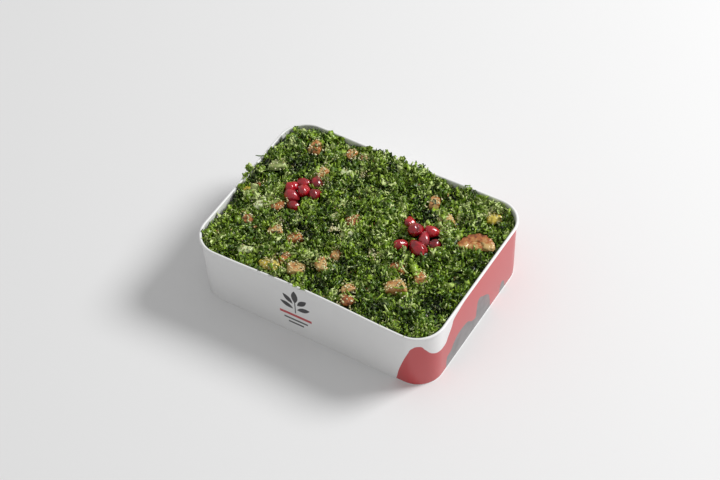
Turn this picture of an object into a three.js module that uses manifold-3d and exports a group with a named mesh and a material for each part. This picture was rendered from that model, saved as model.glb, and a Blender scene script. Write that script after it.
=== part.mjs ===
// Tabbouleh salad in a rectangular take-away tray of white paperboard.
// Millimetres, +Z up, origin at the middle of the tray's foot, +X along the long side.
import * as THREE from 'three';
import { mergeVertices } from 'three/addons/utils/BufferGeometryUtils.js';
import Module from 'manifold-3d';

const wasm = await Module();
wasm.setup();

// Tray, measured over the rolled rim
const TRAY_LENGTH = 172;
const TRAY_WIDTH = 126;
const TRAY_HEIGHT = 46.5;
const CORNER_RADIUS = 19;
const BOARD = 0.6;
const RIM_ROLL = 1.8;
const WALL_LEAN = 1.3;
const FLOOR_TOP = 2.4;
const FLOOR_RECESS = 1.5;
const FOOT_WIDTH = 2.2;
const FLOOR_FILLET = 2.5;
const FRONT_WAIST = 1.9;
const BACK_WAIST = 0.7;

// Salad
const CLEARANCE = 0.3;
const WALL_GAP = 0.45;
const FILL_HEIGHT = 44.2;
const HEAP_CELL = 8.4;
const EDGE_SAG = 1.4;
const EDGE_SAG_WIDTH = 9;
const FLAT_CUT = 0.05;

// Toppings and the larger chopped pieces
const ARIL_LENGTH = 8.8;
const ARIL_WIDTH = 6.7;
const SLICE_OUTER = 11;
const SLICE_INNER = 4.8;
const SLICE_THICKNESS = 3.4;

const HALF_LENGTH = TRAY_LENGTH / 2;
const HALF_WIDTH = TRAY_WIDTH / 2;
const CORNER_X = HALF_LENGTH - CORNER_RADIUS;
const CORNER_Y = HALF_WIDTH - CORNER_RADIUS;

const material = (color, roughness, metalness = 0) =>
  new THREE.MeshStandardMaterial({ color, roughness, metalness });

// The long walls draw in a little between the corners, most at the rim.
function waist(point) {
  const along = Math.min(Math.abs(point.x) / CORNER_X, 1);
  const depth = point.y < 0 ? FRONT_WAIST : BACK_WAIST;
  const across = (point.y / HALF_WIDTH) ** 2;
  const pull = depth * Math.cos(along * Math.PI / 2) ** 2 * across * (point.z / TRAY_HEIGHT);
  point.y -= Math.sign(point.y) * pull;
  return point;
}

// Merged vertices, no collapsed triangles: one closed skin
function closedSkin(geometry) {
  const bare = geometry.clone();
  bare.deleteAttribute('normal');
  bare.deleteAttribute('uv');
  const merged = mergeVertices(bare, 1e-4);
  const index = merged.index.array;
  const kept = [];
  for (let i = 0; i < index.length; i += 3) {
    const [a, b, c] = [index[i], index[i + 1], index[i + 2]];
    if (a !== b && b !== c && c !== a) kept.push(a, b, c);
  }
  merged.setIndex(kept);
  return merged;
}

function moveEach(geometry, move) {
  const position = geometry.getAttribute('position');
  const point = new THREE.Vector3();
  for (let i = 0; i < position.count; i += 1) {
    point.fromBufferAttribute(position, i);
    move(point);
    position.setXYZ(i, point.x, point.y, point.z);
  }
  return geometry;
}

function toManifold(geometry) {
  return new wasm.Manifold(new wasm.Mesh({
    numProp: 3,
    vertProperties: new Float32Array(geometry.getAttribute('position').array),
    triVerts: new Uint32Array(geometry.index.array),
  }));
}

function fromManifold(solid) {
  const mesh = solid.getMesh();
  const geometry = new THREE.BufferGeometry();
  geometry.setAttribute('position', new THREE.BufferAttribute(mesh.vertProperties, 3));
  geometry.setIndex(new THREE.BufferAttribute(mesh.triVerts, 1));
  return geometry;
}

// ---------------------------------------------------------------------------------------------
// Tray: one skin of board turned round four corner centres

// Where each column of the turned skin stands: a corner centre, or a step between two
function trayColumns() {
  const CORNER_STEPS = 8;
  const signs = [[1, 1], [-1, 1], [-1, -1], [1, -1]];
  const columns = [];
  signs.forEach(([sx, sy], corner) => {
    for (let step = 0; step <= CORNER_STEPS; step += 1) {
      const angle = (corner + step / CORNER_STEPS) * Math.PI / 2;
      columns.push({ x: sx * CORNER_X, y: sy * CORNER_Y, angle });
    }
    const [nx, ny] = signs[(corner + 1) % 4];
    const between = nx !== sx ? 10 : 2;
    for (let step = 1; step < between; step += 1) {
      const part = step / between;
      columns.push({
        x: CORNER_X * (sx + (nx - sx) * part),
        y: CORNER_Y * (sy + (ny - sy) * part),
        angle: (corner + 1) * Math.PI / 2,
      });
    }
  });
  return columns;
}

function arcPoints(x, y, radius, from, to, steps) {
  const points = [];
  for (let step = 0; step <= steps; step += 1) {
    const angle = THREE.MathUtils.degToRad(from + (to - from) * step / steps);
    points.push(new THREE.Vector2(x + radius * Math.cos(angle), y + radius * Math.sin(angle)));
  }
  return points;
}

function trayProfile() {
  const roll = RIM_ROLL / 2;
  const rollX = CORNER_RADIUS - roll;
  const rollZ = TRAY_HEIGHT - roll;
  const innerTop = CORNER_RADIUS - RIM_ROLL;
  const outerTop = innerTop + BOARD;
  const outerFoot = outerTop - WALL_LEAN;
  const innerFoot = outerFoot - BOARD;
  const rollEnd = -THREE.MathUtils.radToDeg(Math.acos((outerTop - rollX) / roll));
  const wallFoot = FLOOR_TOP + FLOOR_FILLET;
  return [
    new THREE.Vector2(0, FLOOR_TOP),
    ...arcPoints(innerFoot - FLOOR_FILLET, wallFoot, FLOOR_FILLET, 270, 360, 3),
    ...arcPoints(rollX, rollZ, roll, 180, rollEnd, 9),
    new THREE.Vector2(outerFoot, 0),
    new THREE.Vector2(outerFoot - FOOT_WIDTH, 0),
    new THREE.Vector2(outerFoot - FOOT_WIDTH, FLOOR_RECESS),
    new THREE.Vector2(0, FLOOR_RECESS),
  ];
}

function makeTray() {
  const columns = trayColumns();
  const profile = trayProfile();
  const turned = new THREE.LatheGeometry(profile, columns.length);
  const position = turned.getAttribute('position');
  const point = new THREE.Vector3();
  for (let i = 0; i < position.count; i += 1) {
    const column = columns[Math.floor(i / profile.length) % columns.length];
    const { x: radius, y: height } = profile[i % profile.length];
    const spread = radius > 0 ? 1 : 0;
    point.set(
      spread * column.x + radius * Math.cos(column.angle),
      spread * column.y + radius * Math.sin(column.angle),
      height,
    );
    waist(point);
    position.setXYZ(i, point.x, point.y, point.z);
  }
  const skin = closedSkin(turned);
  const index = skin.index.array;
  for (let i = 0; i < index.length; i += 3) {
    [index[i + 1], index[i + 2]] = [index[i + 2], index[i + 1]];
  }
  const tray = new THREE.Mesh(skin, material('#f4f3ee', 0.55));
  tray.name = 'tray';
  return tray;
}

// ---------------------------------------------------------------------------------------------
// Heap of chopped salad

// Soft hills and hollows of the heap: place, reach, rise
const HILLS = [
  { x: -66, y: 42, reach: 20, rise: 5.6 },
  { x: -12, y: 55, reach: 11, rise: 4.6 },
  { x: 10, y: 53, reach: 9, rise: 3.2 },
  { x: -45, y: 6, reach: 24, rise: 1.8 },
  { x: 8, y: -4, reach: 34, rise: 2.6 },
  { x: 66, y: -46, reach: 16, rise: 1.6 },
  { x: 73, y: 47, reach: 17, rise: -5.0 },
  { x: 45, y: 62, reach: 14, rise: -2.6 },
  { x: 70, y: -24, reach: 9, rise: -2.2 },
  { x: -86, y: -12, reach: 15, rise: 0.6 },
  { x: -43, y: 62, reach: 10, rise: -3.6 },
];

// Finer unevenness: crossing waves of a clump's size
function clumps(x, y) {
  const wave = (length, turn, shift) =>
    Math.sin((x * Math.cos(turn) + y * Math.sin(turn)) * 2 * Math.PI / length + shift);
  return wave(31, 0.4, 0.6) * wave(27, 1.9, 2.1) * 1.1
    + wave(17, 2.6, 1.2) * wave(19, 1.1, 0.3) * 0.9
    + wave(13.5, 0.2, 4.0) * wave(14.5, 1.5, 1.7) * 0.5;
}

function wallDistance(x, y) {
  const dx = Math.abs(x) - CORNER_X;
  const dy = Math.abs(y) - CORNER_Y;
  const reach = CORNER_RADIUS - RIM_ROLL;
  const outside = Math.hypot(Math.max(dx, 0), Math.max(dy, 0));
  return reach - outside - Math.min(Math.max(dx, dy), 0);
}

function heapHeight(x, y) {
  let height = FILL_HEIGHT + clumps(x, y);
  for (const hill of HILLS) {
    const away = Math.hypot(x - hill.x, y - hill.y) / hill.reach;
    height += hill.rise * Math.exp(-away * away);
  }
  const nearWall = Math.max(0, 1 - wallDistance(x, y) / EDGE_SAG_WIDTH);
  return height - EDGE_SAG * nearWall ** 2;
}

// A square grid drawn to the tray's rounded outline
function roundedPlace(x, y, radius) {
  const ex = Math.max(Math.abs(x) - CORNER_X, 0) / radius;
  const ey = Math.max(Math.abs(y) - CORNER_Y, 0) / radius;
  if (ex === 0 || ey === 0) return [x, y];
  const dx = ex * Math.sqrt(1 - ey * ey / 2) * radius;
  const dy = ey * Math.sqrt(1 - ex * ex / 2) * radius;
  return [Math.sign(x) * (CORNER_X + dx), Math.sign(y) * (CORNER_Y + dy)];
}

function makeHeap() {
  const LEVELS = 3;
  const across = Math.round(TRAY_LENGTH / HEAP_CELL);
  const along = Math.round(TRAY_WIDTH / HEAP_CELL);
  const base = FLOOR_TOP + CLEARANCE;
  const chamfer = FLOOR_FILLET + CLEARANCE;
  const innerTop = CORNER_RADIUS - RIM_ROLL - WALL_GAP;
  const block = new THREE.BoxGeometry(2, 2, 1, across, along, LEVELS);
  moveEach(block, (point) => {
    const level = Math.round((point.z + 0.5) * LEVELS);
    const wallRadius = (z) => innerTop - WALL_LEAN * (1 - z / TRAY_HEIGHT);
    const place = (radius) => roundedPlace(
      point.x * (CORNER_X + radius),
      point.y * (CORNER_Y + radius),
      radius,
    );
    const [topX, topY] = place(innerTop);
    const top = heapHeight(topX, topY);
    const heights = [base, base + chamfer, (base + top) / 2, top];
    const z = heights[level];
    const radius = wallRadius(Math.min(z, TRAY_HEIGHT)) - (level === 0 ? chamfer : 0);
    const [x, y] = place(radius);
    point.set(x, y, z);
    waist(point);
  });
  const levelled = new THREE.BoxGeometry(TRAY_LENGTH, TRAY_WIDTH, 2 * TRAY_HEIGHT);
  levelled.translate(0, 0, TRAY_HEIGHT + base + FLAT_CUT);
  return toManifold(closedSkin(block)).intersect(toManifold(closedSkin(levelled)));
}

// ---------------------------------------------------------------------------------------------
// Loose pieces that lie in the heap

// A pomegranate aril: a drop with softly angled sides, drawn out at its root end
function arilGeometry(size, grow) {
  const halfLength = size * ARIL_LENGTH / 2 + grow;
  const halfWidth = size * ARIL_WIDTH / 2 + grow;
  const drop = new THREE.SphereGeometry(1, 8, 6);
  return closedSkin(moveEach(drop, (point) => {
    const taper = 1 - 0.28 * Math.max(point.y, -0.4);
    const angled = 1 + 0.07 * Math.cos(3 * Math.atan2(point.z, point.x));
    point.set(
      point.y * halfLength,
      -point.x * taper * angled * halfWidth,
      point.z * taper * angled * halfWidth,
    );
  }));
}

// A chopped piece: a cube with worn corners and sides that are not square
function choppedGeometry(length, width, thickness, skew, grow) {
  const cube = new THREE.BoxGeometry(2, 2, 2, 2, 2, 2);
  return closedSkin(moveEach(cube, (point) => {
    const wear = [0, 1, 0.9, 0.8][Math.abs(point.x) + Math.abs(point.y) + Math.abs(point.z)];
    const lean = 1 + skew * 0.18 * point.y;
    point.set(
      (point.x * wear * lean + skew * 0.12 * point.z) * (length / 2 + grow),
      point.y * wear * (1 - skew * 0.15 * point.x) * (width / 2 + grow),
      point.z * wear * (thickness / 2 + grow),
    );
  }));
}

// The large tomato slice: half a ring of flesh
function sliceGeometry(grow) {
  const BEVEL = 0.7;
  const outline = new THREE.Shape();
  const outer = SLICE_OUTER - BEVEL + grow;
  const inner = SLICE_INNER + BEVEL - grow;
  const past = grow / inner;
  outline.absarc(0, 0, outer, -past, Math.PI + past, false);
  outline.absarc(0, 0, inner, Math.PI + past, -past, true);
  outline.closePath();
  const slab = new THREE.ExtrudeGeometry(outline, {
    depth: SLICE_THICKNESS - 2 * BEVEL + 2 * grow,
    bevelThickness: BEVEL,
    bevelSize: BEVEL,
    bevelSegments: 1,
    curveSegments: 9,
  });
  slab.translate(0, 0, BEVEL - SLICE_THICKNESS / 2 - grow);
  return closedSkin(slab);
}

const pieces = [];
const hollows = [];

// Lays a piece on the heap at a place, sunk by its own depth, turned and tipped.
// The same shape, grown by the clearance, is the hollow that it presses into the heap.
function lay(name, shape, color, { x, y, turn, tip = 0, sink = 0 }) {
  const piece = new THREE.Mesh(shape(0), material(color, 0.3));
  piece.name = name;
  piece.position.set(x, y, heapHeight(x, y) - sink);
  piece.rotation.set(0, THREE.MathUtils.degToRad(tip), THREE.MathUtils.degToRad(turn), 'ZYX');
  piece.updateMatrixWorld();
  pieces.push(piece);
  hollows.push(toManifold(shape(CLEARANCE).applyMatrix4(piece.matrixWorld)));
}

// Two spoonfuls of arils, and one aril apart from each
const ARIL_SPOTS = [
  { x: -54.4, y: 8.2, turn: 75, tip: 8, sink: 0.6 },
  { x: -49.8, y: 15.2, turn: 25, tip: -14, sink: 1.2 },
  { x: -45.2, y: 8.6, turn: 110, tip: 24, sink: -2.2, size: 1.08 },
  { x: -49.8, y: 1.8, turn: 5, tip: 12, sink: 0.4 },
  { x: -43, y: 19.2, turn: 135, tip: -8, sink: 0.4 },
  { x: -37.6, y: 9.6, turn: 70, tip: 20, sink: -0.2 },
  { x: -45.6, y: -4.4, turn: 165, tip: 6, sink: 0.8 },
  { x: 26, y: 18, turn: 120, tip: 10, sink: -0.6 },
  { x: 33, y: 13.6, turn: 60, tip: 22, sink: -1.4, size: 1.15 },
  { x: 41.6, y: 18.8, turn: 20, tip: 8, sink: 0.2 },
  { x: 40.2, y: 11, turn: 110, tip: -18, sink: -0.4 },
  { x: 48, y: 12.2, turn: 65, tip: 12, sink: 0.4 },
  { x: 30.6, y: -0.4, turn: 40, tip: 14, sink: 0.4 },
  { x: 41, y: 1.4, turn: 150, tip: -10, sink: -1.2, size: 1.34 },
];
ARIL_SPOTS.forEach((spot, i) => {
  const name = `pomegranate_aril_${String(i + 1).padStart(2, '0')}`;
  const aril = (grow) => arilGeometry(spot.size ?? 1, grow);
  lay(name, aril, '#a80f26', spot);
});

// Tomato dice that show at the top of the heap: place, turn, length
const TOMATO_SPOTS = [
  { x: -58, y: 43, turn: 100, size: 10 },
  { x: -44, y: 28.6, turn: 65, size: 8.5 },
  { x: -64, y: -27, turn: 10, size: 9.5 },
  { x: -44, y: -27, turn: 30, size: 9 },
  { x: -54.6, y: -8.6, turn: 50, size: 9.5 },
  { x: -75, y: -1, turn: 120, size: 8 },
  { x: -27, y: -43, turn: 75, size: 8 },
  { x: -30, y: -27, turn: 40, size: 9.5 },
  { x: -16.6, y: -47.4, turn: 25, size: 11 },
  { x: -4, y: -38, turn: 140, size: 10 },
  { x: -0.6, y: -26, turn: 100, size: 7.5 },
  { x: 19.6, y: -45, turn: 55, size: 8.5 },
  { x: 24.4, y: -54, turn: 15, size: 8 },
  { x: 37, y: -16.6, turn: 15, size: 9.5 },
  { x: 53, y: -16, turn: 130, size: 10 },
  { x: 44, y: -30, turn: 35, size: 12.5 },
  { x: 30.6, y: 41.4, turn: 110, size: 9 },
  { x: 44, y: 32.6, turn: 35, size: 9.5 },
  { x: -4.6, y: 1.6, turn: 60, size: 10 },
  { x: -37, y: 52, turn: 80, size: 7.5 },
  { x: -27, y: 54, turn: 30, size: 7 },
];
TOMATO_SPOTS.forEach(({ x, y, turn, size }, i) => {
  const name = `tomato_piece_${String(i + 1).padStart(2, '0')}`;
  const skew = i % 2 === 0 ? 1 : -1;
  const dice = (grow) => choppedGeometry(size, size * 0.74, size * 0.6, skew, grow);
  lay(name, dice, '#c4663a', { x, y, turn, tip: 7 * skew, sink: 0.8 });
});

// Pale chopped pieces of lettuce rib and cucumber: place, turn, length
const PALE_SPOTS = [
  { x: -73, y: 21, turn: 35, size: 12 },
  { x: -31, y: 36, turn: 10, size: 8.5 },
  { x: -46, y: 57, turn: 20, size: 8 },
  { x: -53, y: -49, turn: 15, size: 10.5 },
  { x: 9, y: 23.6, turn: 120, size: 8 },
  { x: -65.6, y: -11.4, turn: 80, size: 10 },
  { x: -17.6, y: 0.4, turn: 60, size: 7 },
  { x: -2.6, y: -10, turn: 20, size: 8.5 },
];
PALE_SPOTS.forEach(({ x, y, turn, size }, i) => {
  const name = `pale_piece_${String(i + 1).padStart(2, '0')}`;
  const skew = i % 2 === 0 ? -1 : 1;
  const chip = (grow) => choppedGeometry(size, size * 0.6, size * 0.42, skew, grow);
  lay(name, chip, '#c9d6a0', { x, y, turn, tip: -6, sink: 0.7 });
});

lay('tomato_slice', sliceGeometry, '#d0703f', { x: 71, y: 20.5, turn: 20, tip: -5, sink: -0.9 });

// The heap is what stays whole once every hollow is pressed: loose slivers are dropped.
function largest(solids) {
  return solids.reduce((best, solid) => (solid.volume() > best.volume() ? solid : best));
}

const food = new THREE.Group();
const pressed = hollows.reduce((solid, hollow) => solid.subtract(hollow), makeHeap());
const heapSolid = largest(pressed.decompose());
const heap = new THREE.Mesh(fromManifold(heapSolid), material('#33571c', 0.7));
heap.name = 'salad';
food.add(heap, ...pieces);

const tabbouleh = new THREE.Group();
tabbouleh.add(makeTray(), food);

export default tabbouleh;
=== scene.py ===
"""Tabbouleh salad in a printed paperboard take-away tray.

Chopped parsley, bulgur, tomato and pomegranate arils, heaped level with the rim of a rectangular tray.
Lengths are written in millimetres and turned to metres with MM where a mesh is made.
"""
import math

import bmesh
import bpy
import numpy as np
from mathutils import Matrix, Vector
from mathutils.bvhtree import BVHTree


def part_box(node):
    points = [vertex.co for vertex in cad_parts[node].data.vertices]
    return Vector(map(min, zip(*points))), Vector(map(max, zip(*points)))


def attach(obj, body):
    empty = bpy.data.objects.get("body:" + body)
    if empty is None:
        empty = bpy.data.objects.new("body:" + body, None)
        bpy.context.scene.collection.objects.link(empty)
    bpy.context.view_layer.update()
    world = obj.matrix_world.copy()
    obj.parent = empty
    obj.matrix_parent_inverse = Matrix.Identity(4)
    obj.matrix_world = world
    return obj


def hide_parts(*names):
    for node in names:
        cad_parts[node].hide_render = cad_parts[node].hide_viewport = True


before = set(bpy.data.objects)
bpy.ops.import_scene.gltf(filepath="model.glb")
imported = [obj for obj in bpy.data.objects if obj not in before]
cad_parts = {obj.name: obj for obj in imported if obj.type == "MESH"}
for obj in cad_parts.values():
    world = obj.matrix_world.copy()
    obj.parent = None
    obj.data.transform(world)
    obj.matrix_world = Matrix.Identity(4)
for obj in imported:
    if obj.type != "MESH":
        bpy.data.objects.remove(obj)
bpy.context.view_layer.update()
MM = 0.001

# ---------------------------------------------------------------------------------------------
# Camera
# A long lens that looks down on the tray past its front right corner, a few degrees off level.
# ---------------------------------------------------------------------------------------------
VIEW_AZIMUTH = math.radians(33.34)
VIEW_ELEVATION = math.radians(48.30)
VIEW_ROLL = math.radians(-3.11)
VIEW_DISTANCE = 1.2246
VIEW_AIM = Vector((-0.00477, 0.00787, 0.023))
LENS = 97.12

view_back = Vector((
    math.sin(VIEW_AZIMUTH) * math.cos(VIEW_ELEVATION),
    -math.cos(VIEW_AZIMUTH) * math.cos(VIEW_ELEVATION),
    math.sin(VIEW_ELEVATION),
))
level_right = Vector((math.cos(VIEW_AZIMUTH), math.sin(VIEW_AZIMUTH), 0))
level_up = view_back.cross(level_right)
view_right = level_right * math.cos(VIEW_ROLL) + level_up * math.sin(VIEW_ROLL)
view_up = level_up * math.cos(VIEW_ROLL) - level_right * math.sin(VIEW_ROLL)
bpy.ops.object.camera_add(location=VIEW_AIM + view_back * VIEW_DISTANCE)
camera = bpy.context.object
camera.rotation_euler = Matrix((view_right, view_up, view_back)).transposed().to_euler()
camera.data.lens = LENS
camera.data.sensor_width = 36
camera.data.clip_end = 20
bpy.context.scene.camera = camera

# ---------------------------------------------------------------------------------------------
# Floor and light
# A pale seamless table under one large soft lamp, high behind the right end of the tray. The rest
# of the light is an even pale room.
# ---------------------------------------------------------------------------------------------
FLOOR_SIZE = 8
FLOOR_WHITE = (0.80, 0.80, 0.80, 1)
LAMP_AZIMUTH = math.radians(46)
LAMP_ELEVATION = math.radians(41.6)
LAMP_DISTANCE = 2.18
LAMP_SIZE = 0.84
LAMP_POWER = 41
ROOM_STRENGTH = 0.47
LAMP_TOWARDS = Vector((
    math.cos(LAMP_AZIMUTH) * math.cos(LAMP_ELEVATION),
    math.sin(LAMP_AZIMUTH) * math.cos(LAMP_ELEVATION),
    math.sin(LAMP_ELEVATION),
))

bpy.ops.object.select_all(action="DESELECT")
bpy.ops.mesh.primitive_plane_add(size=FLOOR_SIZE)
floor = bpy.context.object
floor.name = "floor"
table_top = bpy.data.materials.new("table_top")
table_top.use_nodes = True
table_shader = table_top.node_tree.nodes["Principled BSDF"]
table_shader.inputs["Base Color"].default_value = FLOOR_WHITE
table_shader.inputs["Roughness"].default_value = 0.75
table_shader.inputs["Specular IOR Level"].default_value = 0.2
floor.data.materials.append(table_top)

bpy.ops.object.light_add(type="AREA", location=LAMP_TOWARDS * LAMP_DISTANCE)
lamp = bpy.context.object
lamp.data.shape = "DISK"
lamp.data.size = LAMP_SIZE
lamp.data.energy = LAMP_POWER
lamp.rotation_euler = LAMP_TOWARDS.to_track_quat("Z", "Y").to_euler()

room = bpy.data.worlds.new("room")
room.use_nodes = True
room.node_tree.nodes["Background"].inputs["Color"].default_value = (1, 1, 1, 1)
room.node_tree.nodes["Background"].inputs["Strength"].default_value = ROOM_STRENGTH
bpy.context.scene.world = room
bpy.context.scene.view_settings.view_transform = "Standard"

# ---------------------------------------------------------------------------------------------
# Tray
# White paperboard drawn up into four leaning walls, with a rolled rim and a shallow foot. The
# outside is printed with a red field and grey shapes round the right end.
# ---------------------------------------------------------------------------------------------
tray_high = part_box("tray")[1]
TRAY_HEIGHT = tray_high.z / MM
CORNER_RADIUS = 19.0
CORNER_X = tray_high.x / MM - CORNER_RADIUS
CORNER_Y = 63.0 - CORNER_RADIUS
BOARD = 0.6
WALL_LEAN = 1.3
ROLL = 0.9
FOOT_WIDTH = 2.2
FLOOR_TOP = 2.4
FLOOR_RECESS = 1.5
FLOOR_FILLET = 2.5
FRONT_WAIST = 1.9
BACK_WAIST = 0.7
INNER_TOP = CORNER_RADIUS - 2 * ROLL
OUTER_TOP = INNER_TOP + BOARD
OUTER_FOOT = OUTER_TOP - WALL_LEAN


def deselect_all():
    """Leaves nothing selected, so that the next piece is made on its own."""
    bpy.ops.object.select_all(action="DESELECT")


def corner_centre(x, y):
    """The nearest point of the box between the four corner centres."""
    return np.clip(x, -CORNER_X, CORNER_X), np.clip(y, -CORNER_Y, CORNER_Y)


def waist(x, y, z):
    """How far the long walls are drawn in at a place, most at mid-length and at the rim."""
    along = np.minimum(np.abs(x) / CORNER_X, 1)
    depth = np.where(y < 0, FRONT_WAIST, BACK_WAIST)
    across = (y / (CORNER_Y + CORNER_RADIUS)) ** 2
    return depth * np.cos(along * math.pi / 2) ** 2 * across * z / TRAY_HEIGHT


def draw_out(board, reach, height):
    """Extrudes the open edge of the board to a reach from the corner centres, at a height."""
    bpy.ops.mesh.extrude_region_move()
    skin = bmesh.from_edit_mesh(board.data)
    for vertex in skin.verts:
        if vertex.select:
            cx, cy = corner_centre(vertex.co.x / MM, vertex.co.y / MM)
            out = Vector((vertex.co.x / MM - cx, vertex.co.y / MM - cy)).normalized() * reach
            vertex.co = Vector((cx + out.x, cy + out.y, height)) * MM
    bmesh.update_edit_mesh(board.data)


deselect_all()
bpy.ops.mesh.primitive_plane_add(size=2)
tray = bpy.context.object
tray.name = "paperboard_tray"
foot_inner = OUTER_FOOT - FOOT_WIDTH
bpy.ops.object.mode_set(mode="EDIT")
bpy.ops.transform.resize(value=((CORNER_X + foot_inner) * MM, (CORNER_Y + foot_inner) * MM, 1))
bpy.ops.transform.translate(value=(0, 0, FLOOR_RECESS * MM))
bpy.ops.mesh.bevel(offset=foot_inner * MM, segments=14, affect="VERTICES")
bpy.ops.mesh.flip_normals()
bpy.ops.mesh.select_mode(type="EDGE")
bpy.ops.mesh.region_to_loop()
draw_out(tray, foot_inner, 0)
draw_out(tray, OUTER_FOOT, 0)
draw_out(tray, OUTER_FOOT + 0.15, 0.5)
roll_start = -math.acos((OUTER_TOP - CORNER_RADIUS + ROLL) / ROLL)
for step in range(15):
    angle = roll_start + (math.pi - roll_start) * step / 14
    reach = CORNER_RADIUS - ROLL + ROLL * math.cos(angle)
    draw_out(tray, reach, TRAY_HEIGHT - ROLL + ROLL * math.sin(angle))
fillet_centre = OUTER_FOOT - BOARD - FLOOR_FILLET
for step in range(5):
    angle = -math.pi / 2 * step / 4
    reach = fillet_centre + FLOOR_FILLET * math.cos(angle)
    draw_out(tray, reach, FLOOR_TOP + FLOOR_FILLET + FLOOR_FILLET * math.sin(angle))
bpy.ops.mesh.edge_face_add()
for cut in range(-60, 61, 10):
    bpy.ops.mesh.select_all(action="SELECT")
    bpy.ops.mesh.bisect(plane_co=(cut * MM, 0, 0), plane_no=(1, 0, 0))
bpy.ops.mesh.select_all(action="SELECT")
bpy.ops.mesh.normals_make_consistent(inside=False)
bpy.ops.object.mode_set(mode="OBJECT")
for vertex in tray.data.vertices:
    pull = waist(vertex.co.x / MM, vertex.co.y / MM, vertex.co.z / MM)
    vertex.co.y -= math.copysign(float(pull) * MM, vertex.co.y)

# How far round the outside a place lies, from the middle of the front wall, and how high
WRAP_HALF = 2 * CORNER_X + math.pi * INNER_TOP + 2 * CORNER_Y


def round_the_tray(x, y):
    """Length along the outside from the middle of the front wall to a place on the right half."""
    if x <= CORNER_X:
        return x if y < 0 else WRAP_HALF - x
    cx, cy = corner_centre(x, y)
    turn = math.atan2(x - cx, -(y - cy))
    return CORNER_X + INNER_TOP * turn + cy + CORNER_Y


wrap = tray.data.uv_layers.new(name="wrap")
for face in tray.data.polygons:
    side = 1 if face.center.x >= 0 else -1
    for corner in face.loop_indices:
        point = tray.data.vertices[tray.data.loops[corner].vertex_index].co / MM
        way_round = round_the_tray(abs(point.x), point.y)
        wrap.data[corner].uv = (0.5 + side * way_round / (2 * WRAP_HALF), point.z / TRAY_HEIGHT)

# The print's edges, as length round the tray and height: the red field lies under its edge, and
# the grey shapes lie under theirs
RED_EDGE = [
    (60, -2), (61, 0), (63, 9), (66, 19), (70, 30), (73, 36), (77, 38), (80, 35), (86, 28),
    (91, 26), (97, 26), (100, 29), (105, 35), (107, 39), (114, 41), (133, 44), (183, 45),
    (200, 44), (212, 39), (219, 28), (225, 26), (233, 33), (238, 36), (243, 25), (250, -2),
]
GREY_EDGE = [
    (99, -2), (100, 10), (104, 11), (108, 15), (113, 18), (121, 18), (125, 17), (132, 11),
    (136, 10), (136.5, 14), (139, 24), (145, 21), (152, 15), (154, 9), (157, -2),
    (165, -2), (168, 6), (170, 9), (174, -2),
]
EDGE_LOW = -4.0
EDGE_HIGH = 48.0


def connect(tree, socket, value):
    """Links a value into a socket, or sets the socket where the value is a constant."""
    if isinstance(value, bpy.types.NodeSocket):
        tree.links.new(value, socket)
    else:
        socket.default_value = value


def mixed(tree, factor, under, over):
    """A colour mix: under where the factor is 0, over where it is 1."""
    blend = tree.nodes.new("ShaderNodeMix")
    blend.data_type = "RGBA"
    connect(tree, blend.inputs[0], factor)
    connect(tree, blend.inputs[6], under)
    connect(tree, blend.inputs[7], over)
    return blend.outputs[2]


def noise(tree, place, scale, detail=2.0, coarseness=0.5):
    """A noise value over a place."""
    grain = tree.nodes.new("ShaderNodeTexNoise")
    connect(tree, grain.inputs["Vector"], place)
    connect(tree, grain.inputs["Scale"], scale)
    connect(tree, grain.inputs["Detail"], detail)
    connect(tree, grain.inputs["Roughness"], coarseness)
    return grain.outputs["Fac"]


def ranged(tree, value, low, high, to_low=0.0, to_high=1.0):
    """A value carried from one range to another and kept within it."""
    reach = tree.nodes.new("ShaderNodeMapRange")
    connect(tree, reach.inputs["Value"], value)
    connect(tree, reach.inputs["From Min"], low)
    connect(tree, reach.inputs["From Max"], high)
    connect(tree, reach.inputs["To Min"], to_low)
    connect(tree, reach.inputs["To Max"], to_high)
    return reach.outputs["Result"]


def math_node(tree, operation, first, second=0.0):
    """One arithmetic step on two values or sockets."""
    step = tree.nodes.new("ShaderNodeMath")
    step.operation = operation
    connect(tree, step.inputs[0], first)
    connect(tree, step.inputs[1], second)
    return step.outputs["Value"]


def attribute(tree, name):
    """A value kept on the mesh."""
    kept = tree.nodes.new("ShaderNodeAttribute")
    kept.attribute_name = name
    return kept.outputs["Fac"]


def finish_of(name):
    """A new material, with its node tree, its shader and the object's own coordinates."""
    material = bpy.data.materials.new(name)
    material.use_nodes = True
    tree = material.node_tree
    coordinates = tree.nodes.new("ShaderNodeTexCoord")
    return material, tree, tree.nodes["Principled BSDF"], coordinates.outputs["Object"]


def group_of(name, inputs, outputs):
    """A new shader node group, with its given inputs and its results; each socket is a name and a kind."""
    group = bpy.data.node_groups.new(name, "ShaderNodeTree")
    for socket, kind in inputs:
        group.interface.new_socket(socket, in_out="INPUT", socket_type="NodeSocket" + kind)
    for socket, kind in outputs:
        group.interface.new_socket(socket, in_out="OUTPUT", socket_type="NodeSocket" + kind)
    given = group.nodes.new("NodeGroupInput").outputs
    results = group.nodes.new("NodeGroupOutput").inputs
    return group, given, results


def grouped(tree, group, values):
    """A shader node group placed in a material, with the values of its inputs."""
    node = tree.nodes.new("ShaderNodeGroup")
    node.node_tree = group
    for socket, value in values.items():
        connect(tree, node.inputs[socket], value)
    return node.outputs


def mottling_group():
    """Patches of one colour over another, by a noise over the place."""
    inputs = [("Place", "Vector"), ("Under", "Color"), ("Over", "Color")]
    inputs += [(name, "Float") for name in ("Scale", "Detail", "Coarseness", "Low", "High", "Share")]
    group, given, results = group_of("mottling", inputs, [("Colour", "Color")])
    patches = noise(group, given["Place"], given["Scale"], given["Detail"], given["Coarseness"])
    share = ranged(group, patches, given["Low"], given["High"], 0.0, given["Share"])
    group.links.new(mixed(group, share, given["Under"], given["Over"]), results["Colour"])
    return group


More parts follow.
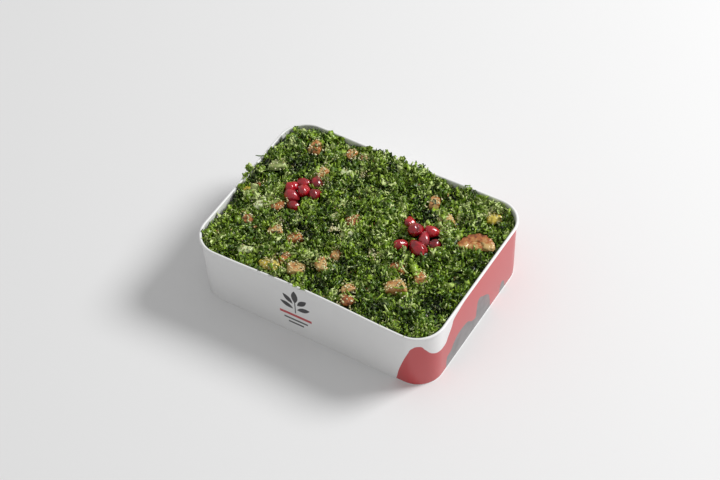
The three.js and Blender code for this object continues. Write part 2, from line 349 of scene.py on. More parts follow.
def relief_group():
    """Fine unevenness: the normal of a noise over the place, with its depth."""
    numbers = [(name, "Float") for name in ("Scale", "Detail", "Coarseness", "Depth", "Strength")]
    group, given, results = group_of("relief", [("Place", "Vector")] + numbers, [("Normal", "Vector")])
    bump = group.nodes.new("ShaderNodeBump")
    height = noise(group, given["Place"], given["Scale"], given["Detail"], given["Coarseness"])
    connect(group, bump.inputs["Height"], height)
    connect(group, bump.inputs["Distance"], given["Depth"])
    connect(group, bump.inputs["Strength"], given["Strength"])
    group.links.new(bump.outputs["Normal"], results["Normal"])
    return group


mottling = mottling_group()
relief_shape = relief_group()


def mottled(tree, place, scale, detail, reach, under, over, coarseness=0.5):
    """A colour with patches of another: reach says where they start, where they are full and how full."""
    values = {"Place": place, "Scale": scale, "Detail": detail, "Coarseness": coarseness}
    colours = {"Low": reach[0], "High": reach[1], "Share": reach[2], "Under": under, "Over": over}
    return grouped(tree, mottling, values | colours)["Colour"]


def relief(tree, place, scale, detail, depth, coarseness=0.5, strength=1.0):
    """The normal of a fine unevenness, with its depth in millimetres."""
    values = {"Place": place, "Scale": scale, "Detail": detail, "Coarseness": coarseness}
    depths = {"Depth": depth * MM, "Strength": strength}
    return grouped(tree, relief_shape, values | depths)["Normal"]


def printed_field(tree, length, height, edge):
    """Mask of what lies under an edge: the edge is a curve of height over length."""
    start = edge[0][0]
    end = edge[-1][0]
    curve = tree.nodes.new("ShaderNodeFloatCurve")
    points = curve.mapping.curves[0].points
    points[0].location = (0, (edge[0][1] - EDGE_LOW) / (EDGE_HIGH - EDGE_LOW))
    points[1].location = (1, (edge[-1][1] - EDGE_LOW) / (EDGE_HIGH - EDGE_LOW))
    for along, rise in edge[1:-1]:
        points.new((along - start) / (end - start), (rise - EDGE_LOW) / (EDGE_HIGH - EDGE_LOW))
    curve.mapping.update()
    tree.links.new(ranged(tree, length, start, end), curve.inputs["Value"])
    top = ranged(tree, curve.outputs["Value"], 0, 1, EDGE_LOW, EDGE_HIGH)
    return ranged(tree, math_node(tree, "SUBTRACT", top, height), -0.15, 0.15)


def leaf_shape_group():
    """A printed leaf, pointed at both ends, at a centre, turned, with half its length and width."""
    names = ("Length", "Height", "Centre Length", "Centre Height", "Turn", "Half Length", "Half Width")
    group, given, results = group_of("leaf_shape", [(name, "Float") for name in names], [("Mask", "Float")])
    across = math_node(group, "SUBTRACT", given["Length"], given["Centre Length"])
    up = math_node(group, "SUBTRACT", given["Height"], given["Centre Height"])
    cosine = math_node(group, "COSINE", given["Turn"])
    sine = math_node(group, "SINE", given["Turn"])
    along_part = math_node(group, "MULTIPLY", across, cosine)
    along_leaf = math_node(group, "ADD", along_part, math_node(group, "MULTIPLY", up, sine))
    across_part = math_node(group, "MULTIPLY", up, cosine)
    across_leaf = math_node(group, "SUBTRACT", across_part, math_node(group, "MULTIPLY", across, sine))
    share = math_node(group, "DIVIDE", along_leaf, given["Half Length"])
    narrowed = math_node(group, "SUBTRACT", 1.0, math_node(group, "MULTIPLY", share, share))
    width = math_node(group, "MULTIPLY", narrowed, given["Half Width"])
    gap = math_node(group, "SUBTRACT", width, math_node(group, "ABSOLUTE", across_leaf))
    group.links.new(ranged(group, gap, -0.1, 0.1), results["Mask"])
    return group


def bar_shape_group():
    """A printed bar at a centre, with half its length and height."""
    names = ("Length", "Height", "Centre Length", "Centre Height", "Half Length", "Half Height")
    group, given, results = group_of("bar_shape", [(name, "Float") for name in names], [("Mask", "Float")])
    across = math_node(group, "SUBTRACT", given["Length"], given["Centre Length"])
    past_end = math_node(group, "SUBTRACT", math_node(group, "ABSOLUTE", across), given["Half Length"])
    up = math_node(group, "SUBTRACT", given["Height"], given["Centre Height"])
    past_side = math_node(group, "SUBTRACT", math_node(group, "ABSOLUTE", up), given["Half Height"])
    past = math_node(group, "MAXIMUM", past_end, past_side)
    group.links.new(ranged(group, past, 0.1, -0.1), results["Mask"])
    return group


BOARD_WHITE = (0.83, 0.83, 0.825, 1)
BOARD_SHADE = (0.79, 0.79, 0.785, 1)
PRINT_RED = (0.52, 0.045, 0.05, 1)
PRINT_GREY = (0.165, 0.150, 0.152, 1)
PRINT_GREY_DARK = (0.075, 0.068, 0.070, 1)
PRINT_INK = (0.035, 0.033, 0.036, 1)


def board_surface_group():
    """Paperboard: a faintly clouded white with a fine tooth."""
    surface = [("Colour", "Color"), ("Normal", "Vector")]
    group, given, results = group_of("board_surface", [("Place", "Vector")], surface)
    clouded = mottled(group, given["Place"], 90, 3, (0, 1, 1), BOARD_WHITE, BOARD_SHADE)
    group.links.new(clouded, results["Colour"])
    group.links.new(relief(group, given["Place"], 1400, 2, 0.02, strength=0.5), results["Normal"])
    return group


board_surface = board_surface_group()
board, tree, shader, place = finish_of("paperboard")
surface = grouped(tree, board_surface, {"Place": place})
tree.links.new(surface["Colour"], shader.inputs["Base Color"])
tree.links.new(surface["Normal"], shader.inputs["Normal"])
shader.inputs["Roughness"].default_value = 0.42
tray.data.materials.append(board)

printed, tree, shader, place = finish_of("printed_paperboard")
wrap_map = tree.nodes.new("ShaderNodeUVMap")
wrap_map.uv_map = "wrap"
split = tree.nodes.new("ShaderNodeSeparateXYZ")
tree.links.new(wrap_map.outputs["UV"], split.inputs["Vector"])
length = ranged(tree, split.outputs["X"], 0, 1, -WRAP_HALF, WRAP_HALF)
height = ranged(tree, split.outputs["Y"], 0, 1, 0, TRAY_HEIGHT)
surface = grouped(tree, board_surface, {"Place": place})
tree.links.new(surface["Normal"], shader.inputs["Normal"])
red = mixed(tree, printed_field(tree, length, height, RED_EDGE), surface["Colour"], PRINT_RED)
grey_ink = mottled(tree, place, 130, 4, (0.42, 0.62, 0.55), PRINT_GREY, PRINT_GREY_DARK)
grey = mixed(tree, printed_field(tree, length, height, GREY_EDGE), red, grey_ink)

# A plain mark on the front wall: a stalk with five leaves over one red and two dark bars
MARK_LENGTH = -10
STALK = (0, 24.5, 0.35, 5.0)
SPRIG = [  # place and height of each leaf, its turn, half its length and width
    (0, 34.5, 90, 5.6, 2.3), (-5.0, 31.0, 135, 4.8, 1.9), (5.0, 31.0, 45, 4.8, 1.9),
    (-6.0, 25.2, 158, 5.0, 1.9), (6.0, 25.2, 22, 5.0, 1.9),
]
RED_BAR = (0, 17.0, 11.5, 1.1)
DARK_BARS = [(0, 12.8, 8.5, 0.7), (0, 9.6, 5.5, 0.7)]
leaf_shape = leaf_shape_group()
bar_shape = bar_shape_group()


def bar_mask(across, up, half_length, half_height):
    """One bar of the mark."""
    centre = {"Length": length, "Height": height, "Centre Length": MARK_LENGTH + across, "Centre Height": up}
    size = {"Half Length": half_length, "Half Height": half_height}
    return grouped(tree, bar_shape, centre | size)["Mask"]


def leaf_mask(across, up, turn, half_length, half_width):
    """One leaf of the mark."""
    centre = {"Length": length, "Height": height, "Centre Length": MARK_LENGTH + across, "Centre Height": up}
    size = {"Turn": math.radians(turn), "Half Length": half_length, "Half Width": half_width}
    return grouped(tree, leaf_shape, centre | size)["Mask"]


ink = bar_mask(*STALK)
for bar in DARK_BARS:
    ink = math_node(tree, "MAXIMUM", ink, bar_mask(*bar))
for leaf in SPRIG:
    ink = math_node(tree, "MAXIMUM", ink, leaf_mask(*leaf))
inked = mixed(tree, ink, grey, PRINT_INK)
tree.links.new(mixed(tree, bar_mask(*RED_BAR), inked, PRINT_RED), shader.inputs["Base Color"])
shader.inputs["Roughness"].default_value = 0.36
shader.inputs["Coat Weight"].default_value = 0.25
shader.inputs["Coat Roughness"].default_value = 0.12
tray.data.materials.append(printed)

for face in tray.data.polygons:
    middle = face.center / MM
    cx, cy = corner_centre(middle.x, middle.y)
    outward = Vector((middle.x - cx, middle.y - cy, 0))
    on_wall = 0.3 < middle.z < TRAY_HEIGHT - 1.5 and face.normal.dot(outward) > 0 and outward.length > 15
    face.material_index = 1 if on_wall else 0
deselect_all()
tray.select_set(True)
bpy.context.view_layer.objects.active = tray
bpy.ops.object.shade_smooth_by_angle(angle=math.radians(40))
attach(tray, "root")
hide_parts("tray")

# ---------------------------------------------------------------------------------------------
# Heart of the salad
# The imported salad under its loose top: one lumpy mass of wet chopped parsley, its dark green darkened
# further as painted shade for the gaps between the loose bits. It follows the heap's own shape, a few
# millimetres lower.
# ---------------------------------------------------------------------------------------------
HEART_DROP = 3.2
HEART_INSET = 0.9
HEART_RELIEF = 1.1
DROP_FROM = 22
DROP_OVER = 14

rng = np.random.default_rng(20)


def merged_copy(node, name):
    """A copy of a CAD node's mesh as a new piece, its loose triangles joined."""
    piece = bpy.data.objects.new(name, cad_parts[node].data.copy())
    piece.data.materials.clear()
    bpy.context.scene.collection.objects.link(piece)
    deselect_all()
    piece.select_set(True)
    bpy.context.view_layer.objects.active = piece
    bpy.ops.object.mode_set(mode="EDIT")
    bpy.ops.mesh.select_all(action="SELECT")
    bpy.ops.mesh.remove_doubles(threshold=0.02 * MM)
    bpy.ops.object.mode_set(mode="OBJECT")
    return piece


def subdivided(piece, levels, kind="CATMULL_CLARK"):
    """Applies a subdivision to a piece."""
    finer = piece.modifiers.new("finer", "SUBSURF")
    finer.subdivision_type = kind
    finer.levels = levels
    finer.render_levels = levels
    bpy.context.view_layer.objects.active = piece
    bpy.ops.object.modifier_apply(modifier=finer.name)


def corners(piece):
    """A piece's vertices as an array in millimetres."""
    flat = np.empty(len(piece.data.vertices) * 3)
    piece.data.vertices.foreach_get("co", flat)
    return flat.reshape(-1, 3) / MM


def set_corners(piece, points):
    """Puts a piece's vertices at places given in millimetres."""
    piece.data.vertices.foreach_set("co", (points * MM).ravel())
    piece.data.update()


def waves(rng, count, shortest, longest):
    """Crossing waves for an uneven field: direction, length and shift of each."""
    turn = rng.uniform(0, math.pi, count)
    length = rng.uniform(shortest, longest, count)
    return np.cos(turn) / length, np.sin(turn) / length, rng.uniform(0, 1, count)


def swell(field, x, y):
    """The height of crossing waves at places, about -1 to 1."""
    across, along, shift = field
    phase = 2 * math.pi * (np.multiply.outer(x, across) + np.multiply.outer(y, along) + shift)
    return np.sin(phase).sum(-1) / math.sqrt(len(shift)) / 1.2


FALL_X = -76
FALL_Y = 54
FALL_REACH = 17
FALL_DEPTH = 3.6


def corner_fall(x, y):
    """How far the salad has sunk in the back left corner."""
    return FALL_DEPTH * np.exp(-((x - FALL_X) ** 2 + (y - FALL_Y) ** 2) / FALL_REACH ** 2)


heart = merged_copy("salad", "salad_heart")
subdivided(heart, 1, "SIMPLE")
lumps = waves(rng, 14, 4.5, 11)
points = corners(heart)
cx, cy = corner_centre(points[:, 0], points[:, 1])
out = np.hypot(points[:, 0] - cx, points[:, 1] - cy)
pulled = np.maximum(out - HEART_INSET, 0) / np.maximum(out, 1e-6)
points[:, 0] = cx + (points[:, 0] - cx) * pulled
points[:, 1] = cy + (points[:, 1] - cy) * pulled
high = np.clip((points[:, 2] - DROP_FROM) / DROP_OVER, 0, 1)
points[:, 2] -= high * (HEART_DROP + HEART_RELIEF * swell(lumps, points[:, 0], points[:, 1]))
points[:, 2] -= high * corner_fall(points[:, 0], points[:, 1])
set_corners(heart, points)
bpy.ops.object.shade_smooth()

# Painted shade: the packed parsley's greens are far darker than the loose leaves', standing for the shade in
# the gaps between them
HEART_SHADE_DARK = (0.010, 0.022, 0.004, 1)
HEART_SHADE_GREEN = (0.035, 0.075, 0.012, 1)
heart_finish, tree, shader, place = finish_of("packed_parsley_shaded")
mashed = mottled(tree, place, 420, 4, (0.35, 0.7, 1), HEART_SHADE_DARK, HEART_SHADE_GREEN, 0.65)
tree.links.new(mashed, shader.inputs["Base Color"])
tree.links.new(relief(tree, place, 420, 4, 1.2, 0.65), shader.inputs["Normal"])
shader.inputs["Roughness"].default_value = 0.5
heart.data.materials.append(heart_finish)
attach(heart, "root")
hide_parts("salad")

# ---------------------------------------------------------------------------------------------
# Chopped parsley
# Thousands of cut bits of curly parsley, tossed loose and lying every way: frilled leaf ends, flat
# flakes, fine shreds and short stems. Each kind is modelled a few times and strewn as one piece.
# ---------------------------------------------------------------------------------------------
TOPPINGS = [name for name in sorted(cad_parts) if name not in ("tray", "salad")]
GRID = 1.0
GRID_X = 90
GRID_Y = 66


def node_tree(names):
    """A search tree of the surfaces of some CAD nodes, in millimetres."""
    points = []
    faces = []
    for name in names:
        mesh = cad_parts[name].data
        start = len(points)
        points.extend(vertex.co / MM for vertex in mesh.vertices)
        faces.extend([start + i for i in face.vertices] for face in mesh.polygons)
    return BVHTree.FromPolygons(points, faces)


def top_grid(names):
    """Heights of the nodes' top surface on a square grid; none where there is nothing."""
    search = node_tree(names)
    xs = np.arange(-GRID_X, GRID_X + GRID, GRID)
    ys = np.arange(-GRID_Y, GRID_Y + GRID, GRID)
    heights = np.full((len(xs), len(ys)), np.nan)
    above = 2 * TRAY_HEIGHT
    down = Vector((0, 0, -1))
    for i, x in enumerate(xs):
        for j, y in enumerate(ys):
            hit = search.ray_cast(Vector((x, y, above)), down)[0]
            if hit is not None:
                heights[i, j] = hit.z
    return heights


def sampled(grid, x, y):
    """The nearest grid height at places."""
    i = np.clip(np.round((x + GRID_X) / GRID).astype(int), 0, grid.shape[0] - 1)
    j = np.clip(np.round((y + GRID_Y) / GRID).astype(int), 0, grid.shape[1] - 1)
    return grid[i, j]


ARILS = [name for name in TOPPINGS if name.startswith("pomegranate")]
CHUNKS = [name for name in TOPPINGS if not name.startswith("pomegranate")]
DICE = [name for name in CHUNKS if name != "tomato_slice"]
heap_grid = top_grid(["salad"])
bare_grid = top_grid(ARILS + ["tomato_slice"])
dice_grid = top_grid(DICE)

# Beyond the heap's own edge its height carries on as the nearest one
for sweep in range(8):
    for axis in (0, 1):
        for shift in (1, -1):
            moved = np.roll(heap_grid, shift, axis)
            heap_grid = np.where(np.isnan(heap_grid), moved, heap_grid)
columns = np.arange(-GRID_X, GRID_X + GRID, GRID)
rows = np.arange(-GRID_Y, GRID_Y + GRID, GRID)
grid_x, grid_y = np.meshgrid(columns, rows, indexing="ij")
heap_grid = heap_grid - corner_fall(grid_x, grid_y)

# Small tussocks and pits of the tossed salad
TUSSOCKS = 380
DRIFTS = 46
PITS = [  # place, reach and depth of the deep gaps
    (68.5, -28.5, 9.0, -4.5), (-54.5, 37.3, 5.5, -2.5), (-60, 26, 4.5, -2.5), (-12.7, -11.2, 5.0, -2.5),
    (-11, -46, 5.5, -2.0), (60, -46, 4.5, -2.5), (-70, -30, 5.0, -2.0), (26, 34, 6.0, -2.5),
    (8, -30, 5.0, -2.5), (76, 34, 5.0, -2.5), (40, -48, 4.5, -2.0), (-36, 46, 5.0, -2.0),
    (79, 8, 5.0, -3.0), (2, -52, 5.5, -2.5), (14, -13, 4.5, -2.5), (-26, -24, 4.5, -2.5),
]
pit_x, pit_y, pit_reach, pit_rise = np.array(PITS, float).T
tussock_x = np.append(rng.uniform(-86, 86, TUSSOCKS + DRIFTS), pit_x)
tussock_y = np.append(rng.uniform(-63, 63, TUSSOCKS + DRIFTS), pit_y)
small_reach = rng.uniform(2.6, 6.0, TUSSOCKS)
small_rise = rng.uniform(-3.2, 2.2, TUSSOCKS)
tussock_reach = np.concatenate([small_reach, rng.uniform(6, 11, DRIFTS), pit_reach])
tussock_rise = np.concatenate([small_rise, rng.uniform(-2.6, 1.4, DRIFTS), pit_rise])
EDGE_CLIMB = 1.4
EDGE_SINK = 1.2
CORNER_SINK = 3.0
EDGE_REACH = 5


def tossed(x, y):
    """Height of the tossed top over the smooth heap."""
    away = np.subtract.outer(x, tussock_x) ** 2 + np.subtract.outer(y, tussock_y) ** 2
    cx, cy = corner_centre(x, y)
    gap = INNER_TOP - np.hypot(x - cx, y - cy)
    at_back = (y > 25) & (x > -60)
    at_left_tuft = (x < -70) & (y > -4) & (y < 14)
    in_back_left_corner = (x < -56) & (y > 24)
    climbing = np.where(at_back | at_left_tuft, EDGE_CLIMB, 0)
    climbing = np.where(y < -45, -EDGE_SINK, climbing)
    climbing = np.where(in_back_left_corner, -CORNER_SINK, climbing)
    tussocks = (tussock_rise * np.exp(-away / tussock_reach ** 2)).sum(-1)
    return tussocks + climbing * np.exp(-(gap / EDGE_REACH) ** 2)


def inside(x, y, margin):
    """Whether places lie within the tray's inner wall by a margin."""
    cx, cy = corner_centre(x, y)
    return np.hypot(x - cx, y - cy) < INNER_TOP - margin


def turned(rng, count, tilt):
    """Turn matrices: any way round, tipped by up to a tilt, rolled a little."""
    spin = rng.uniform(0, 2 * math.pi, count)
    tip = rng.normal(0, tilt, count)
    roll = rng.normal(0, tilt * 0.8, count)
    cs, ss = np.cos(spin), np.sin(spin)
    ct, st = np.cos(tip), np.sin(tip)
    cr, sr = np.cos(roll), np.sin(roll)
    zero = np.zeros(count)
    one = np.ones(count)
    about_z = np.stack([cs, -ss, zero, ss, cs, zero, zero, zero, one], -1).reshape(-1, 3, 3)
    about_y = np.stack([ct, zero, st, zero, one, zero, -st, zero, ct], -1).reshape(-1, 3, 3)
    about_x = np.stack([one, zero, zero, zero, cr, -sr, zero, sr, cr], -1).reshape(-1, 3, 3)
    return about_z @ about_y @ about_x


def kept_in(points):
    """Points below the rim are held inside the inner wall."""
    x, y, z = points[:, 0], points[:, 1], points[:, 2]
    cx, cy = corner_centre(x, y)
    out = np.hypot(x - cx, y - cy)
    wall = INNER_TOP - WALL_LEAN * (1 - np.clip(z, 0, TRAY_HEIGHT) / TRAY_HEIGHT) - 0.35
    wall = wall - waist(x, y, z)
    low = z < TRAY_HEIGHT + 0.2
    factor = np.where(low & (out > wall), wall / np.maximum(out, 1e-6), 1)
    return np.stack([cx + (x - cx) * factor, cy + (y - cy) * factor, z], -1)


def face_values(piece, name):
    """A piece's values of a face-corner attribute."""
    values = np.empty(len(piece.data.loops))
    piece.data.attributes[name].data.foreach_get("value", values)
    return values


def strewn(name, masters, kind, centre, turn, size, tone, held=True):
    """One joined piece: at each centre a copy of one of the masters, turned, sized and toned."""
    every_point = []
    every_face = []
    every_uv = []
    every_tone = []
    every_across = []
    columns = math.ceil(math.sqrt(len(centre)))
    cell_x = np.arange(len(centre)) % columns
    cell_y = np.arange(len(centre)) // columns
    first = 0
    for index, master in enumerate(masters):
        which = np.flatnonzero(kind == index)
        cells = np.stack([cell_x[which], cell_y[which]], -1)
        local = corners(master)
        faces = np.empty(len(master.data.polygons) * 3, int)
        master.data.polygons.foreach_get("vertices", faces)
        uv = np.empty(len(master.data.loops) * 2)
        master.data.uv_layers[0].data.foreach_get("uv", uv)
        uv = uv.reshape(-1, 2)
        points = np.einsum("nij,vj->nvi", turn[which], local) * size[which, None, None]
        points += centre[which, None]
        every_point.append(points.reshape(-1, 3))
        starts = first + np.arange(len(which)) * len(local)
        every_face.append((starts[:, None] + faces[None]).ravel())
        every_uv.append(((cells[:, None] + 0.08 + uv[None] * 0.84) / columns).reshape(-1, 2))
        every_tone.append(np.repeat(tone[which], len(local)))
        every_across.append(np.tile(face_values(master, "across"), len(which)))
        first += len(which) * len(local)
    points = np.concatenate(every_point)
    if held:
        points = kept_in(points)
    faces = np.concatenate(every_face)
    mesh = bpy.data.meshes.new(name)
    mesh.vertices.add(len(points))
    mesh.vertices.foreach_set("co", (points * MM).ravel())
    mesh.loops.add(len(faces))
    mesh.loops.foreach_set("vertex_index", faces)
    mesh.polygons.add(len(faces) // 3)
    mesh.polygons.foreach_set("loop_start", np.arange(0, len(faces), 3))
    mesh.update(calc_edges=True)
    mesh.uv_layers.new(name="OFBake").data.foreach_set("uv", np.concatenate(every_uv).ravel())
    mesh.attributes.new("tone", "FLOAT", "POINT").data.foreach_set("value", np.concatenate(every_tone))
    mesh.attributes.new("across", "FLOAT", "CORNER").data.foreach_set("value", np.concatenate(every_across))
    mesh.validate()
    mesh.shade_smooth()
    piece = bpy.data.objects.new(name, mesh)
    bpy.context.scene.collection.objects.link(piece)
    return piece


def set_across(piece, values):
    """Keeps how far across its leaf each face corner lies: 0.5 is on the midrib."""
    piece.data.attributes.new("across", "FLOAT", "CORNER").data.foreach_set("value", values)


LEAF_HALF_THICKNESS = 0.16


def set_tone(piece, tone):
    """Keeps a piece's tone, one value or one for each vertex."""
    values = np.broadcast_to(tone, len(piece.data.vertices)).astype(float)
    piece.data.attributes.new("tone", "FLOAT", "POINT").data.foreach_set("value", values)


def leaf_master(steps, length, width, lobes, frill, curl, seed):
    """A cut bit of leaf, thin as a lens: a grid with a lobed, frilled edge, curled along its length."""
    deselect_all()
    bpy.ops.mesh.primitive_grid_add(x_subdivisions=steps, y_subdivisions=2, size=2)
    leaf = bpy.context.object
    bpy.ops.object.mode_set(mode="EDIT")
    bpy.ops.mesh.duplicate()
    bpy.ops.mesh.flip_normals()
    bpy.ops.object.mode_set(mode="OBJECT")
    sheet = leaf.data.uv_layers[0]
    for face in leaf.data.polygons:
        for corner in face.loop_indices:
            along, across = sheet.data[corner].uv
            sheet.data[corner].uv = (0.98 - along * 0.46 if face.select else along * 0.46, across)
    vary = np.random.default_rng(seed)
    phase = vary.uniform(0, 2 * math.pi, 3)
    under = set(i for face in leaf.data.polygons if face.select for i in face.vertices)
    for vertex in leaf.data.vertices:
        along = vertex.co.x
        across = vertex.co.y
        lobe = 1 + lobes * math.sin(along * 7 + phase[0] + across)
        narrowing = 1 - 0.45 * abs(along) ** 3
        lift = 0 if abs(along) > 0.98 or abs(across) > 0.98 else LEAF_HALF_THICKNESS
        wave = frill * math.sin(along * 5.5 + phase[1] + across * 1.3) * abs(across)
        bend = along * curl
        x = length / 2 * (math.sin(bend) / curl + 0.06 * across * math.sin(phase[2]))
        y = width / 2 * across * lobe * narrowing
        z = length / 2 * (1 - math.cos(bend)) / curl + wave
        vertex.co = Vector((x, y, z + (-lift if vertex.index in under else lift))) * MM
    bpy.ops.object.mode_set(mode="EDIT")
    bpy.ops.mesh.select_all(action="SELECT")
    bpy.ops.mesh.remove_doubles(threshold=0.001 * MM)
    bpy.ops.mesh.quads_convert_to_tris()
    bpy.ops.object.mode_set(mode="OBJECT")
    set_across(leaf, [sheet.uv.y for sheet in leaf.data.uv_layers[0].data])
    return leaf


def stalk_master(sides, steps, length, radius, curl, flat=1.0):
    """A cut stalk or shred: a thin round bar, bent along its length."""
    deselect_all()
    bpy.ops.mesh.primitive_cylinder_add(vertices=sides, radius=1, depth=2, end_fill_type="TRIFAN")
    stalk = bpy.context.object
    bpy.ops.object.mode_set(mode="EDIT")
    for cut in range(1, steps):
        bpy.ops.mesh.select_all(action="SELECT")
        bpy.ops.mesh.bisect(plane_co=(0, 0, -1 + 2 * cut / steps), plane_no=(0, 0, 1))
    bpy.ops.mesh.select_all(action="SELECT")
    bpy.ops.mesh.quads_convert_to_tris()
    bpy.ops.object.mode_set(mode="OBJECT")
    for vertex in stalk.data.vertices:
        along = vertex.co.z
        bend = along * curl
        taper = 1 - 0.35 * along ** 4
        side = vertex.co.x * radius * taper
        x = length / 2 * math.sin(bend) / curl - side * math.sin(bend)
        z = length / 2 * (1 - math.cos(bend)) / curl + side * math.cos(bend)
        vertex.co = Vector((x, vertex.co.y * radius * flat * taper, z)) * MM
    set_across(stalk, np.zeros(len(stalk.data.loops)))
    return stalk


def sprig_master(leaflets, spread, reach, seed):
    """A curled leaf end: small leaflets set round a point, each turned outwards and tipped up."""
    vary = np.random.default_rng(seed)
    turn = []
    centre = []
    for step in range(leaflets):
        around = (step / leaflets - 0.5) * spread + vary.uniform(-0.2, 0.2)
        tip = vary.uniform(0.1, 0.8)
        outward = Matrix.Rotation(around, 3, "Z") @ Matrix.Rotation(-tip, 3, "Y")
        turn.append(np.array(outward @ Matrix.Rotation(vary.uniform(-0.5, 0.5), 3, "X")))
        centre.append(np.array(outward @ Vector((reach, 0, 0))))
    kind = vary.integers(0, len(leaflet_masters), leaflets)
    size = vary.uniform(0.75, 1.15, leaflets)
    return strewn("sprig", leaflet_masters, kind, np.array(centre), np.array(turn), size, size, held=False)


# Where the leaves keep off: the pulp in the bow of the half slice, and the golden clumps
PULP_CENTRE = (70.8, 23.0)
CLEARINGS = [(*PULP_CENTRE, 5.0), (-32, -52.5, 4.6), (68, 50.5, 4.2), (-77.5, -7, 2.6)]


def lies_near(grid, x, y, reach):
    """Whether places are over a topping or within a reach of one."""
    found = ~np.isnan(sampled(grid, x, y))
    for step in range(8):
        angle = step * math.pi / 4
        found |= ~np.isnan(sampled(grid, x + reach * math.cos(angle), y + reach * math.sin(angle)))
    return found


LEFT_SLIP = 3.6
CORNER_SLIP = 2.2


def heap_spots(rng, count, margin, depth, clear, over_dice):
    """Places in the loose top of the heap, clear of the arils and the slice; few lie on the dice."""
    x = rng.uniform(-CORNER_X - CORNER_RADIUS, CORNER_X + CORNER_RADIUS, count * 3)
    y = rng.uniform(-CORNER_Y - CORNER_RADIUS, CORNER_Y + CORNER_RADIUS, count * 3)
    chance = rng.uniform(0, 1, len(x))
    on_dice = ~np.isnan(sampled(dice_grid, x, y))
    cleared = np.zeros(len(x), bool)
    for clear_x, clear_y, reach in CLEARINGS:
        cleared |= np.hypot(x - clear_x, y - clear_y) < reach
    # The salad has slid off the wall at the left end, towards the front, and in the back left corner
    margin = margin + LEFT_SLIP * np.exp(-((x + 84) / 9) ** 2 - ((y + 22) / 22) ** 2)
    margin = margin + np.where((x < -55) & (y > 22), CORNER_SLIP, 0)
    off_bare = ~cleared & ~lies_near(bare_grid, x, y, clear)
    keep = inside(x, y, margin) & off_bare & (~on_dice | (chance < over_dice))
    x, y = x[keep][:count], y[keep][:count]
    below = rng.triangular(-0.6, 0.3, depth, len(x))
    z = sampled(heap_grid, x, y) + tossed(x, y) - below
    beside = lies_near(dice_grid, x, y, 2.6) | lies_near(bare_grid, x, y, 3.4)
    z = np.where(beside, np.minimum(z, sampled(heap_grid, x, y) - below * 0.5) - 1.0, z)
    topping = sampled(dice_grid, x, y)
    z = np.where(np.isnan(topping), z, topping + 0.2)
    below = np.where(np.isnan(topping), below, 0)
    return np.stack([x, y, z], -1), below


tone_field = waves(rng, 12, 14, 60)
fine_tone_field = waves(rng, 12, 5, 13)
# Painted shade: how much the tone drops at the middle of each deep gap
PIT_SHADE = 0.44


def tones(rng, centre, below, spread):
    """How bright each bit is: broad zones, clumps and its own chance, with painted shade in the pits and
    deeper down and painted light on the rises. 0 is deep, 1 is pale.
    """
    away = np.subtract.outer(centre[:, 0], pit_x) ** 2 + np.subtract.outer(centre[:, 1], pit_y) ** 2
    shade = PIT_SHADE * np.exp(-away / pit_reach ** 2).sum(-1)
    zone = 0.12 * swell(tone_field, centre[:, 0], centre[:, 1])
    clump = 0.14 * swell(fine_tone_field, centre[:, 0], centre[:, 1])
    # Painted light on the tops of the tussocks and painted shade in their hollows
    hill_light_and_shade = 0.055 * np.clip(tossed(centre[:, 0], centre[:, 1]), -5, 4)
    chance = rng.normal(0, spread, len(centre))
    # Painted shade: bits lying deeper under the top are made darker
    return np.clip(0.57 + zone + clump + hill_light_and_shade - shade - 0.14 * below + chance, 0, 1)


# Leaf colours along the tone, deep to pale. The tone carries painted light and shade, so the deep end stands
# partly for painted shade and the pale end partly for painted highlights.
LEAF_DEEP = (0.004, 0.012, 0.0015, 1)
LEAF_FRESH = (0.100, 0.210, 0.009, 1)
LEAF_BRIGHT = (0.375, 0.570, 0.040, 1)
LEAF_PALE = (0.76, 0.88, 0.36, 1)


def parsley_finish(name, deep, fresh, bright, pale):
    """Wet leaf: its tone runs from deep to pale green, with a lighter midrib and mottling."""
    material, tree, shader, place = finish_of(name)
    ramp = tree.nodes.new("ShaderNodeValToRGB")
    stops = ramp.color_ramp.elements
    stops[0].position = 0.0
    stops[0].color = deep
    stops[1].position = 1.0
    stops[1].color = pale
    stops.new(0.42).color = fresh
    stops.new(0.74).color = bright
    # The tone attribute holds each bit's own tone together with its painted light and shade
    tree.links.new(attribute(tree, "tone"), ramp.inputs["Fac"])
    rib = math_node(tree, "ABSOLUTE", math_node(tree, "SUBTRACT", attribute(tree, "across"), 0.5))
    on_rib = ranged(tree, rib, 0.16, 0.02, 0, 0.35)
    ribbed = mixed(tree, on_rib, ramp.outputs["Color"], pale)
    patched = mottled(tree, place, 900, 3, (0.4, 0.75, 0.6), ribbed, deep)
    tree.links.new(patched, shader.inputs["Base Color"])
    wetness = ranged(tree, noise(tree, place, 700, 1), 0.3, 0.7, 0.18, 0.42)
    tree.links.new(wetness, shader.inputs["Roughness"])
    shader.inputs["Specular IOR Level"].default_value = 0.45
    tree.links.new(relief(tree, place, 1500, 2, 0.15), shader.inputs["Normal"])
    return material


leaf_finish = parsley_finish("parsley_leaf", LEAF_DEEP, LEAF_FRESH, LEAF_BRIGHT, LEAF_PALE)

